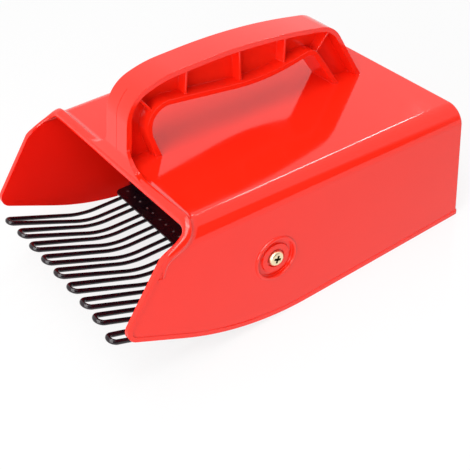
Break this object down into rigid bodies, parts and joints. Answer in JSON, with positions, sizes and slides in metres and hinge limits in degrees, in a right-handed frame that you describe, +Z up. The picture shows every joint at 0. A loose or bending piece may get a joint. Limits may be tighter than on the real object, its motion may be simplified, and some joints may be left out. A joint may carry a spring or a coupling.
{
  "type": "berry picking rake",
  "caption": "Hand-held berry picking rake: a red plastic scoop box with a bow handle on top, and a black steel pan whose hairpin wire tines comb berries into the mouth.",
  "frame": {"origin": "middle of the footprint, on the surface that the rake stands on", "axes": "+X across the width, -Y out of the mouth along the tines, +Z up through the handle"},
  "size_m": [0.1422, 0.2061, 0.1153],
  "materials": {
    "red_plastic": "gloss, moulded",
    "black_coat": "semi-gloss powder coat",
    "black_wire": "semi-gloss dip coat",
    "yellow_zinc": "yellow-passivated zinc plate",
    "bright_zinc": "bright zinc plate"
  },
  "bodies": {
    "root": {"shell": "red_plastic", "comb_pan": "black_coat", "tine_1": "black_wire", "tine_2": "black_wire", "tine_3": "black_wire", "tine_4": "black_wire", "tine_5": "black_wire", "tine_6": "black_wire", "tine_7": "black_wire", "tine_8": "black_wire", "tine_9": "black_wire", "screw_left": "yellow_zinc", "washer_left": "bright_zinc", "nut_left": "bright_zinc", "screw_right": "yellow_zinc", "washer_right": "bright_zinc", "nut_right": "bright_zinc"}
  },
  "joints": []
}
